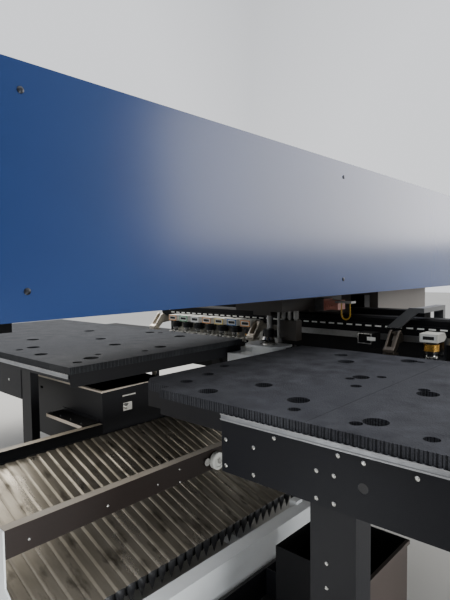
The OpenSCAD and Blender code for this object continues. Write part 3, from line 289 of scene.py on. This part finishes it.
MATERIALS = {
    "cover_blue": paint("cover_blue", srgb(25, 55, 108), 0.22, worn=srgb(27, 58, 112), dust=0.0,
            relief=0.015),
    "frame_grey": paint("frame_grey", srgb(176, 176, 170), 0.45),
    "frame_taupe": paint("frame_taupe", srgb(104, 97, 91), 0.5, worn=srgb(96, 90, 84), dust=0.05),
    "frame_white": paint("frame_white", srgb(222, 225, 226), 0.4, worn=srgb(208, 210, 210), dust=0.1),
    "powder_black": paint("powder_black", srgb(17, 17, 21), 0.5, worn=srgb(22, 22, 26), dust=0.12,
            relief=0.15,
                          Specular_IOR_Level=0.25),
    "apron_black": paint("apron_black", srgb(18, 19, 24), 0.5, worn=srgb(22, 23, 28), dust=0.03, relief=0.2,
                         Specular_IOR_Level=0.2),
    "pit_black": paint("pit_black", srgb(8, 8, 10), 0.6, worn=srgb(10, 10, 12), dust=0.03,
            Specular_IOR_Level=0.15),
    # The right table's bristles are painted darker than the left's: painted shade of the cover's shadow over the
    # right table.
    "brush_right_painted_shade": brush("brush_right_painted_shade", srgb(36, 37, 41), srgb(78, 79, 84)),
    "brush_left": brush("brush_left", srgb(50, 52, 55), srgb(78, 79, 82)),
    "zinc": bare_metal("zinc", srgb(168, 170, 174), 0.45, scale=25.0),
    # Pale matt paint for the fold lines of the zinc strips: a painted highlight.
    "zinc_edge": paint("zinc_edge", srgb(150, 150, 150), 0.4),
    "button_head": bare_metal("button_head", srgb(205, 205, 200), 0.25, scale=120.0, dark=0.8),
    "dark_head": bare_metal("dark_head", srgb(70, 72, 78), 0.35, scale=120.0),
    "ground_steel": bare_metal("ground_steel", srgb(190, 190, 188), 0.22, stretch=(1, 1, 8), scale=30.0,
            dark=0.75),
    "lamella_steel": lamella_finish(),
    "fold_cloth": plastic("fold_cloth", srgb(38, 38, 40), 0.32),
    "rail_brown": paint("rail_brown", srgb(27, 19, 15), 0.5, worn=srgb(31, 22, 18), dust=0.0,
            Specular_IOR_Level=0.25),
    # Pale beige for the tops of the brown guard rails: painted light on their lit tops.
    "rail_beige": paint("rail_beige", srgb(176, 165, 148), 0.42, worn=srgb(152, 140, 122), dust=0.2),
    "trim_beige": paint("trim_beige", srgb(226, 212, 194), 0.35, worn=srgb(204, 190, 172)),
    "head_brown": paint("head_brown", srgb(44, 39, 35), 0.5, worn=srgb(58, 52, 46), dust=0.1),
    "beam_grey": paint("beam_grey", srgb(58, 58, 60), 0.5, dust=0.2),
    "arm_grey": paint("arm_grey", srgb(72, 73, 74), 0.4, dust=0.1),
    "bar_grey": bare_metal("bar_grey", srgb(150, 150, 148), 0.4, scale=40.0),
    "valve_salmon": plastic("valve_salmon", srgb(216, 146, 130), 0.45),
    "hose_yellow": plastic("hose_yellow", srgb(222, 176, 52), 0.35),
    "gold_ring": bare_metal("gold_ring", srgb(222, 170, 84), 0.28, scale=80.0, dark=0.7),
    "cassette_white": plastic("cassette_white", srgb(212, 210, 202), 0.4),
    "clamp_cream": bare_metal("clamp_cream", srgb(214, 206, 192), 0.38, scale=60.0, dark=0.62),
    "clamp_dark": bare_metal("clamp_dark", srgb(112, 104, 94), 0.42, scale=60.0, dark=0.5),
    "tool_black": plastic("tool_black", srgb(16, 17, 19), 0.3),
    "tool_steel": bare_metal("tool_steel", srgb(215, 214, 208), 0.2, scale=50.0, dark=0.7),
    "wheel_nylon": plastic("wheel_nylon", srgb(196, 196, 190), 0.42),
    "box_brown": paint("box_brown", srgb(52, 42, 37), 0.5, dust=0.1),
    "button_red": plastic("button_red", srgb(186, 20, 16), 0.3),
    "button_green": plastic("button_green", srgb(30, 142, 60), 0.3),
    "screen_glass": plastic("screen_glass", srgb(12, 14, 18), 0.12),
    "tag_orange": plastic("tag_orange", srgb(224, 150, 70), 0.4),
    "tag_green": plastic("tag_green", srgb(110, 176, 130), 0.4),
    "tag_white": plastic("tag_white", srgb(230, 230, 224), 0.4),
    "tag_yellow": plastic("tag_yellow", srgb(232, 208, 120), 0.4),
    "tag_blue": plastic("tag_blue", srgb(80, 128, 190), 0.4),
    "label_white": plastic("label_white", srgb(238, 238, 232), 0.5),
}

FINISH = {
    "c_frame": "frame_taupe", "base_frame": "frame_white", "levelling_feet": "zinc",
    "front_plate": "frame_white",
    "cover_right": "cover_blue", "cover_left": "cover_blue", "cover_top": "cover_blue",
    "cover_front": "cover_blue",
    "cover_rear": "cover_blue", "cover_frames": "frame_taupe", "drive_housing": "pit_black",
    "head_rails": "ground_steel", "die_rails": "ground_steel", "cross_beam": "pit_black",
    "rear_guards": "pit_black",
    "sensor_arm": "arm_grey", "cross_rails": "ground_steel", "cross_rack": "tool_steel",
    "table_frame_right": "powder_black", "table_frame_left": "powder_black", "deck_right": "powder_black",
    "deck_left": "powder_black", "apron_right": "apron_black", "apron_left": "apron_black",
    "table_legs": "powder_black",
    "brush_mats_right": "brush_right_painted_shade", "brush_mats_left": "brush_left", "tooth_strips": "zinc",
    "housing_latch": "tool_steel", "wheel_bracket": "ground_steel", "guide_wheel": "wheel_nylon",
    # The scrap bin's black is its own finish and also painted shade: it stands for the dark, shaded floor under the
    # beam.
    "scrap_bin": "powder_black", "head_slide": "head_brown", "head_cylinders": "bar_grey",
    "air_hose": "hose_yellow", "ram": "ground_steel", "die_carriage": "frame_white",
    "die_holder": "tool_steel",
    "cassettes": "cassette_white", "cassette_tags": "tag_orange",
    "clamp_jaw_left": "clamp_cream", "clamp_jaw_middle": "clamp_cream", "clamp_jaw_right": "clamp_dark",
    "cabinet": "frame_grey", "cabinet_door": "frame_grey", "door_handle": "powder_black",
    "panel_mount": "beam_grey",
    "swing_arm": "frame_grey", "control_panel": "frame_grey", "stop_button": "button_red",
    "start_button": "button_green",
}


def dress(node, *names):
    """Gives a CAD node its finishes; the first one is on every face."""
    mesh = nodes[node].data
    mesh.materials.clear()
    for name in names:
        mesh.materials.append(MATERIALS[name])
    for face in mesh.polygons:
        face.material_index = 0


def dress_faces(node, names, pick):
    """Two or more finishes on one CAD node: pick gives the number of the finish from a face's centre and normal."""
    dress(node, *names)
    for face in nodes[node].data.polygons:
        face.material_index = int(pick(face.center, face.normal))


STRIP_Y = 0.267
STRIP_Z = 1.0885
HOOD_Z = 1.1495
BACK_PLATE_Y = 0.3775
BAR_Y = 0.261
SEAT_Z = 1.0035
RING_Z = (1.0215, 1.0625)
GOLD_STATION = 6
SINGLE_X = 1.0


def dress_nodes():
    """The finishes of all CAD nodes; some have two, told apart by the place or the side of a face."""
    for node, name in FINISH.items():
        dress(node, name)
    for node, first, second, pick in (
        ("screws", "button_head", "dark_head", lambda c, n: 0.599 < abs(c.x) < 0.606),
        ("cable_housing", "powder_black", "trim_beige", lambda c, n: c.z > 0.823),
        ("housing_angle", "powder_black", "trim_beige", lambda c, n: n.y < -0.5 and c.y < -1.31),
        # The guard rails' tops are painted pale and their sides dark: the pale tops are painted light on the brown
        # rails.
        ("guard_rail_left", "rail_beige", "pit_black", lambda c, n: n.z <= 0.5),
        ("guard_rail_right", "rail_beige", "rail_brown", lambda c, n: n.z <= 0.5),
        ("parts_box", "box_brown", "pit_black", lambda c, n: c.x <= 1.33),
        ("cassettes", "cassette_white", "tool_black", lambda c, n: c.x > SINGLE_X and c.z < 1.0755),
        ("valve_block", "valve_salmon", "bar_grey", lambda c, n: not 0.271 < c.x < 0.3725),
        ("punch_holder", "tool_steel", "tool_black", lambda c, n: c.z > 1.0425),
    ):
        dress_faces(node, [first, second], pick)
    dress_faces("magazine_slide", ["bar_grey", "pit_black", "clamp_cream", "clamp_dark"], magazine_finish)
    dress_faces("tools", ["tool_steel", "tool_black", "gold_ring"], tool_finish)


def magazine_finish(centre, normal):
    """Dark strip, hood and back plate, black faces at the empty station as painted shade in the empty holder, pale
    clamp bodies and a grey bar.
    """
    if centre.y > STRIP_Y and centre.z > STRIP_Z or centre.z > HOOD_Z or centre.y > BACK_PLATE_Y:
        return 1
    # At the empty station the slide's faces are painted black: painted shade inside the empty holder.
    if 0.58 < centre.x < 0.70 and centre.y < 0.263 and centre.z > 0.999:
        return 1
    if centre.y < BAR_Y:
        return 3 if centre.x > 0.75 else 2
    return 0


def tool_finish(centre, normal):
    """Bright seats, black bodies, and a gold ring on two of the tools."""
    if centre.z < SEAT_Z:
        return 0
    if centre.x > SINGLE_X:
        return 2 if RING_Z[0] < centre.z < RING_Z[1] else 1
    if centre.z < RING_Z[0]:
        return 2 if abs(centre.x - station_x(GOLD_STATION)) < 0.06 else 0
    return 1


# Camera and light

CAMERA_AT = (2.090, -2.770, 1.500)
CAMERA_YAW = 42.300
CAMERA_PITCH = 3.3057
CAMERA_ROLL = -0.6652
LENS = 29.573
HALL_DIM = 0.28
HALL_BRIGHT = 1.2
WARM = (1.0, 0.97, 0.92)
COOL = (0.95, 0.98, 1.0)


def place_camera():
    """The camera where the photograph was taken from."""
    yaw, pitch, roll = (math.radians(v) for v in (CAMERA_YAW, CAMERA_PITCH, CAMERA_ROLL))
    ahead = Vector((-math.sin(yaw) * math.cos(pitch), math.cos(yaw) * math.cos(pitch), -math.sin(pitch)))
    side = Vector((math.cos(yaw), math.sin(yaw), 0))
    top = side.cross(ahead)
    right = side * math.cos(roll) + top * math.sin(roll)
    up = top * math.cos(roll) - side * math.sin(roll)
    data = bpy.data.cameras.new("photo_camera")
    data.lens = LENS
    data.sensor_width = 36
    data.clip_start = 0.02
    data.clip_end = 100
    camera = bpy.data.objects.new("photo_camera", data)
    bpy.context.collection.objects.link(camera)
    camera.matrix_world = Matrix((
        (right.x, up.x, -ahead.x, CAMERA_AT[0]),
        (right.y, up.y, -ahead.y, CAMERA_AT[1]),
        (right.z, up.z, -ahead.z, CAMERA_AT[2]),
        (0, 0, 0, 1),
    ))
    bpy.context.scene.camera = camera


def area_light(name, at, to, size, power, colour=(1, 1, 1)):
    """A soft rectangular light that faces a point."""
    data = bpy.data.lights.new(name, "AREA")
    data.shape = "RECTANGLE"
    data.size, data.size_y = size
    data.energy = power
    data.color = colour
    lamp = bpy.data.objects.new(name, data)
    bpy.context.collection.objects.link(lamp)
    lamp.location = at
    lamp.rotation_euler = (Vector(to) - Vector(at)).to_track_quat("-Z", "Y").to_euler()


def light_studio():
    """A bright hall to the back, the left and above, and a dim one behind the camera."""
    world = bpy.data.worlds.new("studio")
    bpy.context.scene.world = world
    world.use_nodes = True
    tree = world.node_tree
    back = tree.nodes["Background"]
    back.inputs["Color"].default_value = (0.94, 0.96, 1.0, 1)
    split = add(tree, "SeparateXYZ", [(add(tree, "TexCoord").outputs["Generated"], 0)])
    ramps = []
    for axis, low, high in (("Y", 0.3, 0.85), ("X", -0.2, -0.7), ("Z", 0.35, 0.75)):
        ramps.append(limit(tree, split.outputs[axis], low, high, To_Min=HALL_DIM, To_Max=HALL_BRIGHT))
    brightest = maths(tree, "MAXIMUM", maths(tree, "MAXIMUM", ramps[0], ramps[1]), ramps[2])
    tree.links.new(brightest, back.inputs["Strength"])
    area_light("ceiling", (1.5, -0.5, 5.5), (0, -0.5, 1), (7, 6), 120)
    area_light("roof_left", (-3.2, 0.4, 5.0), (-0.3, -1.9, 0.6), (3.5, 3.5), 260, WARM)
    area_light("low_right", (3.3, -1.3, 0.34), (0.7, -1.5, 0.2), (1.6, 0.45), 46, COOL)
    area_light("under_table", (1.05, -2.35, 0.36), (0.32, -1.75, 0.22), (0.5, 0.4), 6, COOL)
    area_light("far_window", (6.0, 8.5, 4.2), (0.6, 0.5, 1.5), (8.5, 4.2), 540, (1.0, 0.97, 0.94))
    area_light("under_cover", (-0.33, -1.72, 1.335), (-0.33, -1.72, 0), (0.34, 1.0), 2.6, (1.0, 0.97, 0.9))


def lay_floor():
    """The pale floor, which is no part of the machine."""
    mesh = bpy.data.meshes.new("studio_floor")
    form = bmesh.new()
    bmesh.ops.create_grid(form, x_segments=1, y_segments=1, size=30)
    form.to_mesh(mesh)
    form.free()
    floor = bpy.data.objects.new("studio_floor", mesh)
    bpy.context.collection.objects.link(floor)
    mat, tree, bsdf = start("floor_pale", 0.8, 0.0)
    cloud = effect(tree, "mottle", Scale=0.6, Low=0.3, High=0.7)
    base = blend_colours(tree, cloud.outputs["Mask"], srgb(205, 203, 198), srgb(198, 196, 190))
    tree.links.new(base, bsdf.inputs["Base Color"])
    mesh.materials.append(mat)


# New pieces


def piece(name, form, material, body, smooth=False):
    """A finished mesh from a bmesh, on a body."""
    mesh = bpy.data.meshes.new(name)
    bmesh.ops.recalc_face_normals(form, faces=form.faces)
    form.to_mesh(mesh)
    form.free()
    for face in mesh.polygons:
        face.use_smooth = smooth
    names = [material] if isinstance(material, str) else material
    for n in names:
        mesh.materials.append(MATERIALS[n])
    obj = bpy.data.objects.new(name, mesh)
    bpy.context.collection.objects.link(obj)
    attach(obj, body)
    return obj


def soften(obj, width):
    """Small rounded edges, so that they catch the light."""
    edge = obj.modifiers.new("edges", "BEVEL")
    edge.width = width
    edge.segments = 2
    edge.limit_method = "ANGLE"


def add_prism(form, outline, axis, low, high, material=0):
    """A prism from a closed outline of points across axis, from low to high along it."""
    rings = []
    for level in (low, high):
        ring = []
        for a, b in outline:
            spot = {"x": (level, a, b), "y": (a, level, b), "z": (a, b, level)}[axis]
            ring.append(form.verts.new(spot))
        rings.append(ring)
    n = len(outline)
    faces = [form.faces.new(rings[0]), form.faces.new(rings[1][::-1])]
    for i in range(n):
        faces.append(form.faces.new((rings[0][i], rings[0][(i + 1) % n], rings[1][(i + 1) % n], rings[1][i])))
    for face in faces:
        face.material_index = material


def add_box(form, low, high, material=0):
    """A box between two opposite corners."""
    outline = [(low[0], low[1]), (high[0], low[1]), (high[0], high[1]), (low[0], high[1])]
    add_prism(form, outline, "z", low[2], high[2], material)


# Lamella bellows

BELLOWS_X = (-0.260, 0.568)
BELLOWS_Z = 0.594
BELLOWS_SLOPE = math.radians(20)
BELLOWS_Y = (-2.0935, -0.1965)
LAMELLAE = 36
FOLD_DEPTH = 0.084
GUSSET_DROP = 0.088
PLATE_T = 0.0012
LIP = [(0.0, -0.0062), (0.0022, -0.0034), (0.0074, -0.0012), (0.0125, 0.0), (0.0148, -0.0003)]


def on_slope(x_along, y, lift):
    """A point of the bellows: how far down the slope, where along the pit, and how high off the slope."""
    return Vector((
        BELLOWS_X[0] + x_along * math.cos(BELLOWS_SLOPE) + lift * math.sin(BELLOWS_SLOPE),
        y,
        BELLOWS_Z - x_along * math.sin(BELLOWS_SLOPE) + lift * math.cos(BELLOWS_SLOPE),
    ))


def add_strip(form, profile, across):
    """A strip that follows profile, a list of (y, lift), between two places along the slope."""
    rows = [[form.verts.new(on_slope(a, y, lift)) for y, lift in profile] for a in across]
    n = len(profile)
    for i in range(n):
        form.faces.new((rows[0][i], rows[0][(i + 1) % n], rows[1][(i + 1) % n], rows[1][i]))
    for row in rows:
        form.faces.new(row)


def add_gusset(form, y, step, edge):
    """The closed end of one fold: a leaf that hangs from the edge, bulges outward and ends in a point."""
    middle, half, columns, rows = y + step / 2, step / 2 - 0.002, 6, 8
    grid = []
    for r in range(rows + 1):
        down = r / rows
        wide = half * (1 - down ** 1.7) + 0.0012
        line = []
        for c in range(columns + 1):
            across = 2 * c / columns - 1
            round_out = (1 - across ** 2) * math.sin(math.pi * min(1.0, down + 0.12))
            bulge = 0.013 * round_out + 0.004 * abs(across) * (1 - down)
            place = (edge.x + bulge, middle + across * wide, edge.z - GUSSET_DROP * down)
            line.append(form.verts.new(place))
        grid.append(line)
    for r in range(rows):
        for c in range(columns):
            form.faces.new((grid[r][c], grid[r][c + 1], grid[r + 1][c + 1], grid[r + 1][c]))


def make_bellows():
    """Overlapping steel lamellae over hanging folds, which fold up in front of the die carriage."""
    width = (BELLOWS_X[1] - BELLOWS_X[0]) / math.cos(BELLOWS_SLOPE)
    step = (BELLOWS_Y[1] - BELLOWS_Y[0]) / LAMELLAE
    plates = bmesh.new()
    folds = bmesh.new()
    leaves = bmesh.new()
    for i in range(LAMELLAE):
        y = BELLOWS_Y[0] + i * step
        lip = [(y + along, lift) for along, lift in LIP]
        top = lip + [(y + step * 0.6, -0.0022), (y + step + 0.0008, -0.0052)]
        under = [(b, l - PLATE_T) for b, l in reversed(top)]
        add_strip(plates, top + under, (0.004, width - 0.004))
        fold = [(y + 0.003, -0.0064), (y + step * 0.38, -FOLD_DEPTH),
                (y + step * 0.5, -FOLD_DEPTH - 0.002), (y + step * 0.62, -FOLD_DEPTH),
                (y + step - 0.003, -0.0064)]
        lining = [(b, l + 0.002) for b, l in reversed(fold)]
        add_strip(folds, fold + lining, (0.006, width - 0.018))
        add_gusset(leaves, y, step, on_slope(width - 0.017, y, -0.0062))
    steel = piece("bellows_lamellae", plates, "lamella_steel", "machine")
    cloth = piece("bellows_folds", folds, "fold_cloth", "machine")
    ends = piece("bellows_gussets", leaves, "fold_cloth", "machine", smooth=True)
    shell = ends.modifiers.new("cloth_thickness", "SOLIDIFY")
    shell.thickness = PLATE_T
    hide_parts("bellows")
    for obj in (steel, cloth, ends):
        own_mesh(obj)


def make_pit_plates():
    """A strip that closes the upper edge of the bellows, and a black plate under the cable housing: partly its
    skirt, partly painted shade under it.
    """
    x = BELLOWS_X[0]
    for name, material, low, high in (
        ("bellows_edge_seal", "fold_cloth", (x - 0.016, BELLOWS_Y[0], BELLOWS_Z - 0.040),
         (x - 0.010, HOUSING_Y - 0.002, BELLOWS_Z - 0.0005)),
        # The black plate under the cable housing stands for the housing's skirt and for painted shade beneath the
        # housing.
        ("housing_skirt_shade_plate", "powder_black", (-1.116, HOUSING_Y + 0.0002, 0.450), (-0.310,
                HOUSING_Y + 0.0025, 0.5818)),
    ):
        plate = bmesh.new()
        add_box(plate, low, high)
        piece(name, plate, material, "machine")


# Tool magazine

TAG_COLOURS = {0: "tag_orange", 1: "tag_green", 2: "tag_white", 3: "tag_orange", 4: "tag_yellow",
               5: "tag_blue", 6: "tag_orange", 16: "tag_white"}
TAG_HALF_W = 0.046
TAG_Z = (1.0775, 1.1245)
TAG_RIM = 0.0072
LAST_DASH = 17
EMPTY_STATION = 13


def add_frame(form, x, y, half_w, low, high, bar, material):
    """A flat square frame that faces the front: two uprights and two cross bars."""
    for x0, x1, z0, z1 in ((x - half_w, x + half_w, low, low + bar), (x - half_w, x + half_w, high - bar,
            high),
                           (x - half_w, x - half_w + bar, low + bar, high - bar),
                           (x + half_w - bar, x + half_w, low + bar, high - bar)):
        add_box(form, (x0, y[0], z0), (x1, y[1], z1), material)


def make_tags():
    """Coloured frames with a white field and a dark slot on the cassette fronts."""
    names = sorted(set(TAG_COLOURS.values())) + ["label_white", "tool_black"]
    white, black = names.index("label_white"), names.index("tool_black")
    form = bmesh.new()
    for k, colour in TAG_COLOURS.items():
        x, y1 = station_x(k), CASSETTE_Y - 0.0002
        add_frame(form, x, (CASSETTE_Y - 0.0038, y1), TAG_HALF_W, TAG_Z[0], TAG_Z[1], 0.007,
                names.index(colour))
        add_frame(form, x, (CASSETTE_Y - 0.0032, y1), TAG_HALF_W - TAG_RIM, TAG_Z[0] + TAG_RIM,
                  TAG_Z[1] - TAG_RIM, 0.006, white)
        add_box(form, (x - 0.0325, y1 - 0.001, TAG_Z[0] + 0.0135), (x + 0.0325, y1, TAG_Z[1] - 0.0135), black)
    tags = piece("cassette_tag_frames", form, names, "magazine")
    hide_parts("cassette_tags")


def make_magazine_marks():
    """White dashes in the slots of the dark strip, and the silver frame and label of the empty holder."""
    form = bmesh.new()
    for k in range(-1, LAST_DASH + 1):
        for side in (-1, 1):
            x = station_x(k) + side * 0.034
            add_box(form, (x - 0.0215, 0.2682, 1.1285), (x + 0.0215, 0.2755, 1.1375), 0)
    x = station_x(EMPTY_STATION)
    add_frame(form, x, (0.1462, 0.1498), 0.048, 1.029, 1.0965, 0.006, 1)
    add_box(form, (x + 0.018, 0.1440, 1.052), (x + 0.075, 0.1460, 1.075), 0)
    add_box(form, (x + 0.018, 0.1461, 1.056), (x + 0.040, 0.1497, 1.071), 1)
    marks = piece("magazine_marks", form, ["label_white", "tool_steel"], "magazine")


CLAMPS = {
    "left": (-1, -0.080, "clamp_cream"),
    "middle": (7, -0.045, "clamp_cream"),
    "right": (14, 0.060, "clamp_dark"),
}
CLAMP_Y = 0.052
PRONG_X = (0.020, 0.034)
PRONG = [(0.0, 0.001), (0.036, 0.001), (0.056, 0.016), (0.128, 0.092), (0.132, 0.108), (0.124, 0.124),
         (0.106, 0.130), (0.088, 0.120), (0.020, 0.034), (0.0, 0.020)]
CLAMP_TIP = [(0.0, 0.001), (0.034, 0.001), (0.034, 0.030), (0.022, 0.036), (0.0, 0.020)]


def make_clamps():
    """Each upper clamp jaw: two slim inclined prongs, joined at the tip."""
    for side, (k, shift, finish) in CLAMPS.items():
        form = bmesh.new()
        x = station_x(k) + shift
        prong, tip = ([(CLAMP_Y + y, TABLE_Z + z) for y, z in line] for line in (PRONG, CLAMP_TIP))
        for low, high in ((-PRONG_X[1], -PRONG_X[0]), PRONG_X):
            add_prism(form, prong, "x", x + low, x + high)
        add_prism(form, tip, "x", x - 0.0205, x + 0.0205)
        jaw = piece("clamp_arm_" + side, form, finish, "jaw_" + side)
        soften(jaw, 0.0018)
        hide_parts("clamp_jaw_" + side)


# Table edges


def make_strip_edges():
    """Two thin pale lines along the toothed strips, where the zinc is folded: a painted highlight on the folds."""
    form = bmesh.new()
    for x0, x1 in ((0.831, 2.845), (-2.845, -0.268)):
        for low in (0.941, 0.9595):
            add_box(form, (x0, TABLE_Y - 0.0075, low), (x1, TABLE_Y - 0.0042, low + 0.0022))
    piece("strip_edges", form, "zinc_edge", "machine")


# Head

HOSE_X, HOSE_Y, HOSE_Z = 0.450, 0.250, 1.197
HOSE_R, HOSE_TOP, HOSE_D = 0.032, 1.275, 0.009


def make_air_hose():
    """The short yellow air hose that hangs in a loop beside the valve block."""
    path = [(HOSE_X - HOSE_R, HOSE_Y, HOSE_TOP)]
    for i in range(25):
        turn = math.pi * i / 24
        path.append((HOSE_X - HOSE_R * math.cos(turn), HOSE_Y, HOSE_Z - HOSE_R * math.sin(turn)))
    path.append((HOSE_X + HOSE_R, HOSE_Y, HOSE_TOP))
    curve = bpy.data.curves.new("air_hose_loop", "CURVE")
    curve.dimensions = "3D"
    curve.bevel_depth = HOSE_D / 2
    curve.bevel_resolution = 4
    curve.use_fill_caps = True
    spline = curve.splines.new("POLY")
    spline.points.add(len(path) - 1)
    for point, spot in zip(spline.points, path):
        point.co = (*spot, 1)
    curve.materials.append(MATERIALS["hose_yellow"])
    hose = bpy.data.objects.new("air_hose_loop", curve)
    bpy.context.collection.objects.link(hose)
    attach(hose, "head")
    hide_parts("air_hose")


def make_panel_face():
    """A dark screen with a thin bezel in the recess on the front of the control panel."""
    form = bmesh.new()
    low, high = SCREEN_Z
    add_box(form, (PANEL_X - SCREEN_HALF_W, SCREEN_Y - 0.0014, low + 0.008),
            (PANEL_X + SCREEN_HALF_W, SCREEN_Y, high - 0.008), 0)
    add_frame(form, PANEL_X, (SCREEN_Y - 0.0024, SCREEN_Y), 0.198, low, high, 0.0075, 1)
    piece("panel_screen", form, ["screen_glass", "powder_black"], "panel")


place_camera()
make_air_hose()
light_studio()
lay_floor()
dress_nodes()
make_bellows()
make_pit_plates()
make_tags()
make_magazine_marks()
make_clamps()
make_strip_edges()
make_panel_face()
